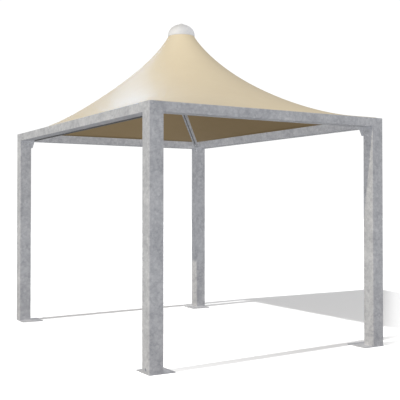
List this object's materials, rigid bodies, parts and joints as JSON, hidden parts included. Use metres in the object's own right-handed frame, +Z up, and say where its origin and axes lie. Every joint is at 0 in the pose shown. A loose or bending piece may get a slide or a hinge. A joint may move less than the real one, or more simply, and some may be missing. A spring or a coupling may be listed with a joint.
{
  "type": "garden gazebo",
  "caption": "Open garden gazebo: galvanised steel posts and beams under a stretched cone fabric canopy with a small cap.",
  "frame": {"origin": "on the ground under the middle of the plan", "axes": "+Z up, +X along the short front side, +Y back along the long side"},
  "size_m": [3, 4.1, 3.94],
  "materials": {
    "galvanised_steel": "hot-dip galvanised, mottled grey",
    "rail_aluminium": "mill",
    "canopy_fabric": "coated beige fabric, satin",
    "cap_plastic": "white, satin"
  },
  "bodies": {
    "root": {"post_front_left": "galvanised_steel", "base_plate_front_left": "galvanised_steel", "corner_bracket_front_left": "galvanised_steel", "arm_front_left": "galvanised_steel", "post_front_right": "galvanised_steel", "base_plate_front_right": "galvanised_steel", "corner_bracket_front_right": "galvanised_steel", "arm_front_right": "galvanised_steel", "post_back_left": "galvanised_steel", "base_plate_back_left": "galvanised_steel", "corner_bracket_back_left": "galvanised_steel", "arm_back_left": "galvanised_steel", "post_back_right": "galvanised_steel", "base_plate_back_right": "galvanised_steel", "corner_bracket_back_right": "galvanised_steel", "arm_back_right": "galvanised_steel", "beam_front": "galvanised_steel", "edge_rail_front": "rail_aluminium", "beam_back": "galvanised_steel", "edge_rail_back": "rail_aluminium", "beam_left": "galvanised_steel", "edge_rail_left": "rail_aluminium", "beam_right": "galvanised_steel", "edge_rail_right": "rail_aluminium", "hub": "galvanised_steel", "mast": "galvanised_steel", "crown": "galvanised_steel", "canopy": "canopy_fabric", "cap": "cap_plastic"}
  },
  "joints": []
}
